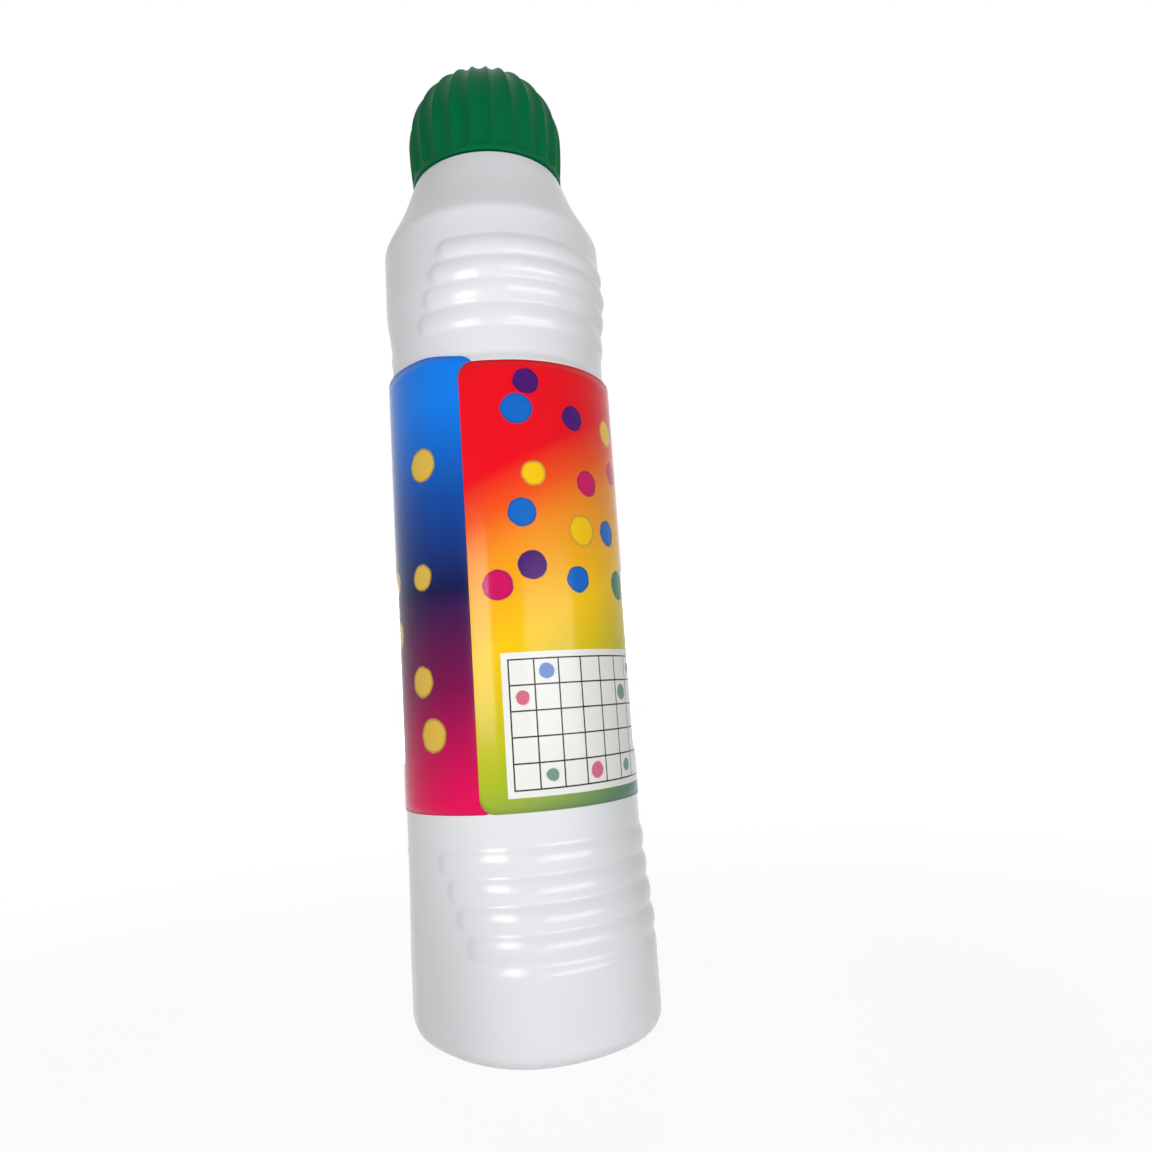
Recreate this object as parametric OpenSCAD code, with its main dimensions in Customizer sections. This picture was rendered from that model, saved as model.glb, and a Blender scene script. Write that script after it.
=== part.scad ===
// Bingo dauber: an ink bottle with grip rolls, a spring-valved foam tip and a fluted screw cap.
// Sizes are in millimetres, +Z is up, and the origin is the middle of the foot on the table.
// The grips face -Y and +Y, and the smooth spines between them face -X and +X.

/* [Bottle] */
// Radius of the straight wall behind the label
body_r = 18; // [17:0.5:21]
// Thickness of the blown wall
bottle_wall = 1.2; // [0.8:0.1:1.6]
// Height of the corner between the wall and the shoulder
shoulder_z = 122.7; // [118:0.1:140]
// Height of the sloping shoulder, from its corner to the seat of the cap
shoulder_h = 12.5; // [10:0.5:16]
// Radius that rounds the shoulder's corner
shoulder_round = 8; // [4:0.5:12]
// Radius that rounds the edge of the foot
foot_round = 3; // [2:0.5:4]
// Radius of the hollow under the foot
push_up_r = 9; // [6:0.5:11]
// Depth of the hollow under the foot
push_up_h = 1.5; // [0.5:0.25:3]

/* [Grips] */
// How far the foot's front and back pads stand out from the wall
pad_rise = 2.4; // [1:0.1:3]
// Width of the foot's pads
pad_w = 30; // [24:1:32]
// Height of the pads' upright part
pad_h = 9; // [6:0.5:11]
// Height over which the pads fade into the wall
pad_slope_h = 8; // [5:0.5:10]
// Radius of a roll's round section
roll_r = 2; // [1.6:0.1:2.4]
// How far a roll stands out from the wall
roll_rise = 0.6; // [0.3:0.1:0.9]
// Width of the roll that is nearest the label
roll_w = 33; // [30:0.5:33.5]
// How much narrower each further roll is
roll_w_step = 1.6; // [0:0.2:2]
// Number of rolls above the label
upper_rolls = 4; // [2:1:4]
// Distance of the first upper roll above the label
upper_roll_gap = 8.5; // [4:0.5:9]
// Spacing of the upper rolls
upper_roll_pitch = 3.3; // [3:0.1:3.8]
// Number of rolls under the label, above the foot's pads
lower_rolls = 3; // [1:1:3]
// Distance of the first lower roll under the label
lower_roll_gap = 5.9; // [3:0.1:7]
// Spacing of the lower rolls
lower_roll_pitch = 3.8; // [3.2:0.1:4]

/* [Neck] */
// Thickness of the neck's wall at the thread's root
neck_wall = 1.8; // [1.4:0.1:2.2]
// Height of the neck above the cap's seat
neck_h = 8.2; // [7.5:0.1:9.5]
// Rise of the thread in one turn
thread_pitch = 3.175; // [2.8:0.025:3.6]
// How far the thread stands out from the neck
thread_depth = 1.05; // [0.7:0.05:1.2]
// Width of the thread at its root
thread_root_w = 1.3; // [1:0.05:1.4]
// Width of the thread at its crest
thread_crest_w = 0.7; // [0.5:0.05:0.9]
// Turns of thread on the neck and in the cap
thread_turns = 1.4; // [1:0.1:1.5]

/* [Label] */
// Height of the label's lower edge above the table
label_z = 32.7; // [31:0.1:40]
// Height of the label
label_h = 65.2; // [50:0.1:70]
// Thickness of the label's film
label_t = 0.15; // [0.1:0.05:0.3]
// Width of the lap where the label's end lies over its start
label_lap = 2.5; // [2:0.5:8]
// Angle of the lap's free edge round the bottle, from +X
lap_angle = 229; // [180:1:340]

/* [Ink] */
// Height of the ink's surface above the table
ink_level = 112; // [60:1:115]

/* [Tip] */
// How far the tip presses in
tip_travel = 2; // [1:0.1:2.5]
// Thickness of the housing's flange
flange_t = 1.2; // [1:0.1:1.4]
// Depth of the housing under the neck's rim
housing_depth = 11.5; // [9:0.5:14]
// Thickness of the housing's cup wall
housing_wall = 1.2; // [0.8:0.1:1.4]
// Thickness of the housing's valve floor
valve_floor_t = 1.4; // [1:0.1:2]
// Number of ink ports in the valve floor
port_count = 6; // [4:1:8]
// Radius of an ink port
port_r = 0.8; // [0.5:0.05:0.9]
// Radius of the ring of ink ports
port_ring_r = 3.4; // [3:0.1:3.8]
// Radius of the valve stem
stem_r = 1.6; // [1.2:0.1:1.8]
// Radius of the valve disc
valve_r = 5; // [4.8:0.1:6]
// Thickness of the valve disc
valve_t = 1.2; // [0.8:0.1:2]
// Thickness of the carrier's plate
carrier_t = 1.2; // [0.9:0.1:1.4]
// Radius of the carrier's stem socket
socket_r = 2.9; // [2.4:0.1:3.2]
// Length of the carrier's stem socket
socket_h = 4; // [2:0.5:6]
// Number of feed holes in the carrier
feed_count = 8; // [4:1:10]
// Radius of a feed hole
feed_r = 0.8; // [0.4:0.1:0.9]
// Distance of the feed holes' middles from the carrier's edge
feed_margin = 1.8; // [1.6:0.1:2.2]
// Height of the foam's upright side
foam_side_h = 1.1; // [0.5:0.1:1.4]
// Thickness of the cloth cover
cover_t = 0.4; // [0.2:0.05:0.45]
// Thickness of the clamp ring
ring_t = 0.5; // [0.3:0.05:0.55]

/* [Spring] */
// Diameter of the spring's wire
wire_d = 0.8; // [0.5:0.05:0.9]
// Number of turns
coil_turns = 6; // [4:0.5:7]

/* [Cap] */
// Radius of the cap's dome; the neck and the tip follow it inwards, wall by wall
dome_r = 13; // [11.5:0.1:14]
// How much narrower the cap's lower edge is than its dome
skirt_taper = 0.3; // [0:0.05:0.5]
// Height of the cap's skirt, from its lower edge to the middle of the dome
skirt_h = 7.6; // [7:0.1:9]
// Thickness of the skirt at the middle of the dome
skirt_wall = 1.8; // [1.6:0.1:2.2]
// Thickness of the dome
dome_wall = 1.5; // [1.2:0.05:1.6]
// Number of flutes round the cap
flute_count = 24; // [16:1:26]
// Radius of a flute's round hollow
flute_r = 2.2; // [1.6:0.1:2.4]
// Depth of a flute at the middle of the dome
flute_depth = 0.5; // [0.2:0.05:0.6]
// Height of the plain rim under the flutes
rim_h = 1.6; // [0.8:0.1:3]
// Thickness of the seal ring
seal_t = 1; // [0.6:0.1:1.2]
// Width over which the seal ring lies on the housing's flange
seal_w = 0.7; // [0.5:0.05:0.9]
// Thickness of the ledge that backs the seal
ledge_t = 1; // [0.6:0.1:1.2]
// How much wider the hole in the ledge is than the hole in the seal ring
ledge_back = 0.2; // [0:0.05:0.5]

/* [Fits] */
// Gap between the cap's lower edge and the shoulder
cap_gap = 0.3; // [0.1:0.05:0.5]
// Radial gap between each thread and the wall that it faces
thread_gap = 0.35; // [0.2:0.05:0.4]
// Radial gap between the housing's flange and the cap's thread, which passes it
flange_gap = 0.15; // [0.1:0.05:0.3]
// Radial gap between pieces that are pushed together
push_gap = 0.03; // [0.02:0.01:0.05]
// Radial running gap of the valve stem in its hole
stem_gap = 0.06; // [0.03:0.01:0.1]
// Radial gap between the spring and the housing's cup
coil_gap = 0.7; // [0.3:0.1:0.9]
// Radial gap between the clamp ring and the hole in the seal ring
tip_gap = 0.34; // [0.2:0.02:0.5]
// Gap between the top of the tip and the inside of the dome
head_gap = 1.67; // [1:0.01:2.5]
// Gap between faces that close on each other
seat_gap = 0.02; // [0.01:0.01:0.05]
// Gap under the carrier when the tip is pressed right in
stop_gap = 0.3; // [0.2:0.05:0.5]
// Gap between the ink and the wall that holds it
ink_gap = 0.1; // [0.05:0.05:0.3]

/* [Hidden] */
$fn = 96;

// Heights, from the seat of the cap upwards
seat_z = shoulder_z + shoulder_h;
neck_top = seat_z + neck_h;
flange_top = neck_top + flange_t;
carrier_z = flange_top + tip_travel + stop_gap;
foam_z = carrier_z + carrier_t;
cap_z = seat_z + cap_gap;
dome_z = cap_z + skirt_h;
thread_z = cap_z + thread_root_w;
seal_z = flange_top + seat_gap;
ledge_z = seal_z + seal_t + seat_gap;

// Heights inside the neck
housing_z = neck_top - housing_depth;
valve_floor_top = housing_z + valve_floor_t;
valve_z = housing_z - seat_gap - valve_t;

// Radii of the cap and, from it inwards, of the neck and the housing
skirt_r = dome_r - skirt_taper;
cap_bore_r = dome_r - skirt_wall;
thread_r = cap_bore_r - thread_gap;
neck_r = thread_r - thread_depth;
cap_thread_r = neck_r + thread_gap;
neck_bore_r = neck_r - neck_wall;
plug_r = neck_bore_r - push_gap;
cup_r = plug_r - housing_wall;
coil_r = cup_r - coil_gap - wire_d / 2;

// Radii from the flange inwards to the tip, and the dome of the tip under the dome of the cap
flange_r = cap_thread_r - flange_gap;
seal_bore_r = flange_r - seal_w;
ledge_bore_r = seal_bore_r + ledge_back;
ring_r = seal_bore_r - tip_gap;
cover_r = ring_r - ring_t - push_gap;
tip_r = cover_r - cover_t - push_gap;
feed_ring_r = tip_r - feed_margin;
foam_top = dome_z + dome_r - dome_wall - head_gap - cover_t - push_gap;
foam_dome_h = foam_top - foam_z - foam_side_h;

// Radius of the label's inner face, how far its lap stands out from it, and the depth that roots the lap in the film
label_r = body_r + push_gap;
lap_rise = 2 * label_t;
lap_root = label_t / 2;

// Slope of the shoulder, measured from upright
shoulder_slope = atan2(body_r - skirt_r, shoulder_h);

// How far joined shapes run into each other, and how far cuts run past a face
sink = 0.3;
past = 1;
// Least rounding of an edge that is drawn in, and half the slope of the hollow under the foot
least_round = 0.5;
hollow_half_slope = 22.5;
// Steps of the drawn curves: along a rounded edge, round a turn of thread and round a coil
arc_steps = 8;
thread_steps = 24;
thread_fade = 4;
coil_steps = 8;
wire_sides = 6;

// Points of an arc about a centre
function arc(centre, r, from, to) = [
    for (i = [0 : arc_steps])
        let (a = from + (to - from) * i / arc_steps)
        centre + r * [cos(a), sin(a)]
];

// Half outline of the bottle's body, drawn in from its outside by a given amount
function body_outline(inset) = let (
    wall_r = body_r - inset,
    edge = max(least_round, foot_round - inset),
    hollow_r = push_up_r + inset * tan(hollow_half_slope),
    corner = [body_r - shoulder_round, shoulder_z - shoulder_round * tan(shoulder_slope / 2)],
    top_z = seat_z - inset,
    drop = top_z - shoulder_z + inset * tan(shoulder_slope / 2),
    top_r = wall_r - drop * tan(shoulder_slope)
) concat(
    [[0, inset + push_up_h], [hollow_r - push_up_h, inset + push_up_h], [hollow_r, inset]],
    arc([wall_r - edge, inset + edge], edge, -90, 0),
    arc(corner, shoulder_round - inset, 0, shoulder_slope),
    [[top_r, top_z], [0, top_z]]
);

// Half outline of the foot's pads, drawn in from their outside by a given amount
function pad_outline(inset) = let (
    pad_r = body_r + pad_rise - inset,
    edge = max(least_round, foot_round - inset),
    depth = pad_rise + past,
    inner_r = push_up_r + inset + past
) concat(
    [[inner_r, inset]],
    arc([pad_r - edge, inset + edge], edge, -90, 0),
    [[pad_r, pad_h], [pad_r - depth, pad_h + pad_slope_h * depth / pad_rise]],
    [[inner_r, pad_h + pad_slope_h * depth / pad_rise]]
);

// Upright slab of a given width that keeps the front and the back of what turns about the axis
module front_and_back(width) {
    reach = 2 * (body_r + pad_rise);
    translate([-width / 2, -reach, -past])
        cube([width, 2 * reach, seat_z + 2 * past]);
}

// Body and foot pads as one solid, drawn in by a given amount
module body_shape(inset) {
    rotate_extrude() polygon(body_outline(inset));
    intersection() {
        rotate_extrude() polygon(pad_outline(inset));
        front_and_back(pad_w - 2 * inset);
    }
}

// One grip roll, on the front and on the back
module roll(z, width) {
    intersection() {
        rotate_extrude() translate([body_r + roll_rise - roll_r, z]) circle(r = roll_r);
        front_and_back(width);
    }
}

// All grip rolls, each further from the label narrower than the last
module rolls() {
    for (i = [0 : upper_rolls - 1])
        roll(label_z + label_h + upper_roll_gap + i * upper_roll_pitch, roll_w - i * roll_w_step);
    for (i = [0 : lower_rolls - 1])
        roll(label_z - lower_roll_gap - i * lower_roll_pitch, roll_w - i * roll_w_step);
}

// Right-hand thread on a wall of radius wall_r, reaching to crest_r, from the angle 0 at height z
module thread(wall_r, crest_r, z) {
    steps = ceil(thread_turns * thread_steps);
    foot_r = wall_r - sink * sign(crest_r - wall_r);
    section = [
        [0, -thread_root_w / 2], [1, -thread_crest_w / 2], [1, thread_crest_w / 2], [0, thread_root_w / 2]
    ];
    points = [
        for (i = [0 : steps], p = section)
            let (
                a = 360 * i / thread_steps,
                fade = min(1, (i + 1) / thread_fade, (steps - i + 1) / thread_fade),
                r = p.x == 0 ? foot_r : wall_r + (crest_r - wall_r) * fade
            )
            [r * cos(a), r * sin(a), z + thread_pitch * i / thread_steps + p.y]
    ];
    sides = [
        for (i = [0 : steps - 1], k = [0 : 3])
            let (p = 4 * i + k, q = 4 * i + (k + 1) % 4)
            each [[p, q, p + 4], [q, q + 4, p + 4]]
    ];
    last = 4 * steps;
    ends = [[0, 2, 1], [0, 3, 2], [last, last + 1, last + 2], [last, last + 2, last + 3]];
    faces = concat(sides, ends);
    outward = crest_r > wall_r;
    polyhedron(points, outward ? faces : [for (f = faces) [f[2], f[1], f[0]]]);
}

// Bottle with its pads, rolls and threaded neck, hollow to the blown wall
module bottle() {
    color("white") difference() {
        union() {
            body_shape(0);
            rolls();
            translate([0, 0, seat_z - bottle_wall]) cylinder(r = neck_r, h = neck_h + bottle_wall);
            thread(neck_r, thread_r, thread_z);
        }
        body_shape(bottle_wall);
        translate([0, 0, seat_z - bottle_wall - past])
            cylinder(r = neck_bore_r, h = neck_h + bottle_wall + 2 * past);
    }
}

// Label film once round the wall, with its end lapped over its start
module label() {
    lap_arc = label_lap / label_r * 180 / PI;
    color("orangered") {
        rotate_extrude() translate([label_r, label_z]) square([label_t, label_h]);
        rotate([0, 0, lap_angle])
            rotate_extrude(angle = lap_arc)
                translate([label_r + lap_root, label_z]) square([lap_rise - lap_root, label_h]);
    }
}

// Ink up to its level
module ink() {
    color("seagreen") intersection() {
        body_shape(bottle_wall + ink_gap);
        cylinder(r = 2 * body_r, h = ink_level);
    }
}

// Plug in the neck, with its flange on the rim, a cup for the spring and a ported valve floor
module tip_housing() {
    color("ghostwhite") difference() {
        union() {
            translate([0, 0, housing_z]) cylinder(r = plug_r, h = housing_depth + sink);
            translate([0, 0, neck_top]) cylinder(r = flange_r, h = flange_t);
        }
        translate([0, 0, valve_floor_top]) cylinder(r = cup_r, h = flange_top - valve_floor_top + past);
        translate([0, 0, housing_z - past]) cylinder(r = stem_r + stem_gap, h = valve_floor_t + 2 * past);
        for (i = [0 : port_count - 1])
            rotate([0, 0, i * 360 / port_count])
                translate([port_ring_r, 0, housing_z - past])
                    cylinder(r = port_r, h = valve_floor_t + 2 * past);
    }
}

// Stem that hangs the valve disc under the ports
module valve_stem() {
    color("gainsboro") {
        translate([0, 0, valve_z]) cylinder(r = valve_r, h = valve_t);
        translate([0, 0, valve_z]) cylinder(r = stem_r, h = carrier_z - valve_z);
    }
}

// Points along the middle of the spring's wire
function coil_point(i) = let (
    low = valve_floor_top + wire_d / 2 + seat_gap,
    high = carrier_z - wire_d / 2 - seat_gap,
    a = 360 * i / coil_steps
) [coil_r * cos(a), coil_r * sin(a), low + (high - low) * i / (coil_turns * coil_steps)];

// Return spring from the valve floor to the carrier, as one unbroken wire
module return_spring() {
    steps = floor(coil_turns * coil_steps);
    points = [
        for (i = [0 : steps], k = [0 : wire_sides - 1])
            let (
                a = 360 * i / coil_steps,
                t = 360 * k / wire_sides,
                out = wire_d / 2 * cos(t)
            )
            coil_point(i) + [out * cos(a), out * sin(a), wire_d / 2 * sin(t)]
    ];
    sides = [
        for (i = [0 : steps - 1], k = [0 : wire_sides - 1])
            let (p = wire_sides * i + k, q = wire_sides * i + (k + 1) % wire_sides)
            each [[p, q, p + wire_sides], [q, q + wire_sides, p + wire_sides]]
    ];
    last = wire_sides * steps;
    ends = [
        for (k = [1 : wire_sides - 2])
            each [[0, k + 1, k], [last, last + k, last + k + 1]]
    ];
    gaps = [for (i = [0 : steps - coil_steps]) norm(coil_point(i + coil_steps) - coil_point(i)) - wire_d];
    echo(least_gap_between_coils = min(gaps));
    color("silver") polyhedron(points, concat(sides, ends));
}

// Perforated plate under the foam, with a socket that takes the stem
module tip_carrier() {
    color("ghostwhite") difference() {
        union() {
            translate([0, 0, carrier_z]) cylinder(r = tip_r, h = carrier_t);
            translate([0, 0, carrier_z - socket_h]) cylinder(r = socket_r, h = socket_h + sink);
        }
        translate([0, 0, carrier_z - socket_h - past])
            cylinder(r = stem_r + push_gap, h = socket_h + past + seat_gap);
        for (i = [0 : feed_count - 1])
            rotate([0, 0, i * 360 / feed_count])
                translate([feed_ring_r, 0, carrier_z - past])
                    cylinder(r = feed_r, h = carrier_t + 2 * past);
    }
}

// Half outline of the domed tip, grown by a given amount, from a given height
function tip_outline(grow, z) = concat(
    [[0, z], [tip_r + grow, z]],
    [
        for (p = arc([0, 0], 1, 0, 90))
            [(tip_r + grow) * p.x, foam_z + foam_side_h + (foam_dome_h + grow) * p.y]
    ]
);

// Foam that prints the dot
module foam_tip() {
    color("honeydew") rotate_extrude() polygon(tip_outline(0, foam_z));
}

// Cloth over the foam, down to the carrier's lower edge
module tip_cover() {
    color("mintcream") difference() {
        rotate_extrude() polygon(tip_outline(push_gap + cover_t, carrier_z));
        rotate_extrude() polygon(tip_outline(push_gap, carrier_z - past));
    }
}

// Ring that clamps the cloth to the carrier's edge
module clamp_ring() {
    color("white") translate([0, 0, carrier_z]) difference() {
        cylinder(r = ring_r, h = carrier_t);
        translate([0, 0, -past]) cylinder(r = cover_r + push_gap, h = carrier_t + 2 * past);
    }
}

// Hollows of the flutes: straight up from the rim, until the dome turns away from them
module flutes() {
    for (i = [0 : flute_count - 1])
        rotate([0, 0, i * 360 / flute_count])
            translate([dome_r + flute_r - flute_depth, 0, cap_z + rim_h])
                cylinder(r = flute_r, h = skirt_h + dome_r);
}

// Fluted dome with a ledge for the seal and a thread in its skirt
module cap_shell() {
    color("seagreen") difference() {
        union() {
            translate([0, 0, cap_z]) cylinder(r1 = skirt_r, r2 = dome_r, h = skirt_h);
            translate([0, 0, dome_z]) intersection() {
                sphere(r = dome_r);
                cylinder(r = 2 * dome_r, h = 2 * dome_r);
            }
        }
        flutes();
        translate([0, 0, cap_z - past]) cylinder(r = cap_bore_r, h = ledge_z - cap_z + past);
        translate([0, 0, ledge_z - past]) cylinder(r = ledge_bore_r, h = ledge_t + 2 * past);
        intersection() {
            translate([0, 0, dome_z]) sphere(r = dome_r - dome_wall);
            translate([0, 0, ledge_z + ledge_t]) cylinder(r = 2 * dome_r, h = 2 * dome_r);
        }
    }
    color("seagreen") rotate([0, 0, 180]) thread(cap_bore_r, cap_thread_r, thread_z);
}

// Soft ring in the cap that closes on the housing's flange
module cap_seal() {
    color("whitesmoke") translate([0, 0, seal_z]) difference() {
        cylinder(r = cap_bore_r - push_gap, h = seal_t);
        translate([0, 0, -past]) cylinder(r = seal_bore_r, h = seal_t + 2 * past);
    }
}

bottle();
label();
ink();
tip_housing();
valve_stem();
return_spring();
tip_carrier();
foam_tip();
tip_cover();
clamp_ring();
cap_shell();
cap_seal();
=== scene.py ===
"""Bingo dauber: an ink bottle with grip rolls, a printed wrap label, a foam tip and a green fluted cap."""

import math

import bpy
import numpy as np
from mathutils import Matrix, Vector


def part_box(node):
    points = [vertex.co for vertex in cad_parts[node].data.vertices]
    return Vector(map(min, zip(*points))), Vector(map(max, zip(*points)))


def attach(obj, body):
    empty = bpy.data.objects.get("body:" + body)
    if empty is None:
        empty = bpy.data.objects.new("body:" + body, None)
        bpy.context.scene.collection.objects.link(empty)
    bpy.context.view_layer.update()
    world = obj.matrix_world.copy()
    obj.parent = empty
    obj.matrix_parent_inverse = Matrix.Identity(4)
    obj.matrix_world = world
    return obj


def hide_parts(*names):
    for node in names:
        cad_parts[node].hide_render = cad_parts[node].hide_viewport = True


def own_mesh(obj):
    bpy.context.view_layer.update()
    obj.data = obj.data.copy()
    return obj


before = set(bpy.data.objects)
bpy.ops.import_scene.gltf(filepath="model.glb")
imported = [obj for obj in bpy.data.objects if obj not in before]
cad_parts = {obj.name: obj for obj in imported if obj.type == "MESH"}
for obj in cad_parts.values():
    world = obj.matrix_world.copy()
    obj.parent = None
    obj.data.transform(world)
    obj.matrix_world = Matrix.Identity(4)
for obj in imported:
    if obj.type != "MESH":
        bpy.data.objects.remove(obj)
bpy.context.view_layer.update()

bl_info = {
    "name": "Bingo dauber look",
    "version": (1, 0, 0),
    "blender": (4, 5, 0),
    "location": "View3D > Sidebar > Dauber",
    "description": "Skins, finishes and stage of a bingo dauber over its solid frame",
    "category": "Object",
}

# Sizes that come from the frame, in metres
MM = 0.001
BOTTLE_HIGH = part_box("bottle")[1]
LABEL_LOW, LABEL_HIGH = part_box("label")
CAP_LOW, CAP_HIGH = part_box("cap_shell")
SEAL_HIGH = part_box("cap_seal")[1]
FOAM_LOW, FOAM_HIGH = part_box("foam_tip")
COVER_LOW, COVER_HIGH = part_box("tip_cover")
SPRING_LOW, SPRING_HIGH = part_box("return_spring")
FULL_TURN = 2.0 * math.pi

# Numbers of points: round the bottle, a flute and the tip, along and up the label and at its corners,
# along one coil of the spring and round its wire, and along the floor
BOTTLE_COLUMNS = 256
FLUTE_COLUMNS = 16
TIP_COLUMNS = 128
LABEL_COLUMNS = 420
LABEL_ROWS = 48
CORNER_COLUMNS = 24
COIL_STEPS = 48
WIRE_SIDES = 12
FLOOR_POINTS = 9

# Roundings of the bottle's lip and rim, of the cap's lower edge and of the foam's lower edge
BOTTLE_EDGE = 0.4 * MM
CAP_EDGE = 0.3 * MM
FOAM_EDGE = 0.3 * MM
# How near to a radius a ring has to be to count as lying on it
ON_RADIUS = 0.01 * MM
# Room between the seal and the cap's ledge, and between the seal and the cap's bore
LEDGE_ROOM = 0.02 * MM
BORE_ROOM = 0.03 * MM

# Thread of the neck and of the cap: the angle over which its ends fade, its turns, its width at root and
# crest, its start above the lip, and how much lower the cap's thread starts
THREAD_FADE = math.radians(40.0)
THREAD_TURNS = 1.4
THREAD_ROOT = 1.4 * MM
THREAD_CREST = 0.5 * MM
THREAD_START = 1.6 * MM
THREAD_DROP = 0.3 * MM
# Angles from the front at which the neck's thread and the cap's thread start
NECK_START = math.radians(90.0)
CAP_START = math.radians(270.0)

# Angles from the middle of a grip between which its swell fades, how softly a roll's side meets the wall,
# and the number of rolls above the label, and as many under it
SWELL_FULL = math.radians(18.0)
SWELL_NONE = math.radians(80.0)
ROLL_SOFT = 0.16
ROLLS = 4

# Shares of the label's length between which its upper edge rises, how many laps from its start the film has
# stepped down to the wall, and the share of the film that is solid, so that the lapped layers stay apart
RISE_START, RISE_END = 0.35, 0.82
STEP_LAPS = 2.5
FILM_SHARE = 0.8
# The label's flat map, in centimetres
LABEL_MAP = "label_map"
CM_IN_METRE = 100.0

# Where the card's grid starts on the label, the width of one square, its squares across and up, its border
# and half the width of its lines, in cm
CARD_U, CARD_V = 0.5, 0.3
CARD_CELL = 0.36
CARD_ACROSS, CARD_UP = 13, 5
CARD_BORDER = 0.1
LINE_HALF = 0.011
# Spacing, scatter and radius of the dabs: cells to a centimetre, share of a cell and centimetres
WARM_CELLS, WARM_SCATTER, WARM_RADIUS = 1.3, 0.6, 0.24
COOL_CELLS, COOL_SCATTER, COOL_RADIUS = 1.25, 0.5, 0.26
CARD_CELLS, CARD_SCATTER, CARD_RADIUS = 1.0 / CARD_CELL, 0.0, 0.14
# How ragged a dab's edge is, how soft, how wide its darker rim, and by how much dabs differ in radius, in cm
DAB_RAGGED, DAB_SOFT, DAB_RIM = 0.05, 0.012, 0.05
DAB_SPREAD = 0.06
# How far the middle of a dab keeps from the edges of its half, in cm, and the share of the label's height
# above which the warm half has dabs
DAB_CLEAR = 0.3
WARM_DABS_FROM = 0.46
# Chances above which a cell of the cool half and a square of the card have a dab, and how strong a dab is
# on the card
COOL_CHANCE, CARD_CHANCE = 0.5, 0.72
CARD_INK = 0.82
# How strong the darker rims of the warm half's dabs and of the gold dabs are, and the share of gold left
# in a rim
WARM_RIM, GOLD_RIM = 0.45, 0.6
GOLD_LEFT = 0.2
# How much further down its blend the warm half is for each cm away from its ends, and the blend's lowest
# share
WARM_LEAN = 0.075
WARM_LOWEST = -0.3
# Noise cells to a centimetre of the dabs' ragged edges, of the film's wear and of its ripples
RAGGED_CELLS, WEAR_CELLS, RIPPLE_CELLS = 7.0, 4.0, 26.0

# Powers of the dome's outline, across and up: 2 gives an ellipse, and more is squarer
DOME_ACROSS, DOME_UP = 2.24, 2.02
# How much higher a flute starts at its ridges than in its middle, the height over which it deepens, and
# the radius inside which it fades towards the top of the dome
FLUTE_BOW = 0.6 * MM
FLUTE_RUN = 0.9 * MM
FLUTE_FADE = 7.0 * MM

# How near two points of the cloth's seam are to be one point
SEAM_NEAR = 0.002 * MM

# Moulded plastic: share of the colour that its clouds keep, how much finer its gloss varies than its colour,
# and the strength and depth of its orange peel
CLOUD_SHARE = 0.93
GLOSS_FINER = 2.3
PEEL_STRENGTH = 0.25
PEEL_DEPTH = 0.02 * MM
# Values of a noise between which a gloss goes from one end of its range to the other
NOISE_LOW, NOISE_HIGH = 0.3, 0.7

# Width of the camera's sensor in millimetres, and the nearest distance that it sees in metres
SENSOR_WIDTH = 36.0
CLIP_NEAR = 0.005
# Greys of the floor, the share of it that is plain white to the camera by the object, where the rest shows
# the shadow, and the distances between which the floor turns plain white
FLOOR_GREY, FLOOR_PALE = 0.72, 0.76
FLOOR_WHITE = 0.93
FLOOR_NEAR, FLOOR_FAR = 0.05, 0.2


def length(name, description, metres):
    """Length property with its default in metres."""
    return bpy.props.FloatProperty(
        name=name, description=description, default=metres, unit="LENGTH", precision=5
    )


def angle(name, description, degrees):
    """Angle property with its default given in degrees."""
    return bpy.props.FloatProperty(
        name=name, description=description, default=math.radians(degrees), subtype="ANGLE"
    )


def number(name, description, whole):
    """Property that is a whole number."""
    return bpy.props.IntProperty(name=name, description=description, default=whole)


def power(name, description, watts):
    """Lamp power property with its default in watts."""
    return bpy.props.FloatProperty(name=name, description=description, default=watts, unit="POWER")


def screen_colour(red, green, blue):
    """Linear colour of a screen colour given from 0 to 255, by the usual screen curve."""
    share = np.array([red, green, blue]) / 255.0
    low = share / 12.92
    high = ((share + 0.055) / 1.055) ** 2.4
    return tuple(float(c) for c in np.where(share <= 0.04045, low, high))


def colour(name, description, red, green, blue):
    """Colour property with its default given as a screen colour from 0 to 255."""
    return bpy.props.FloatVectorProperty(
        name=name, description=description, default=screen_colour(red, green, blue),
        subtype="COLOR", min=0.0, max=1.0,
    )


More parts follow.
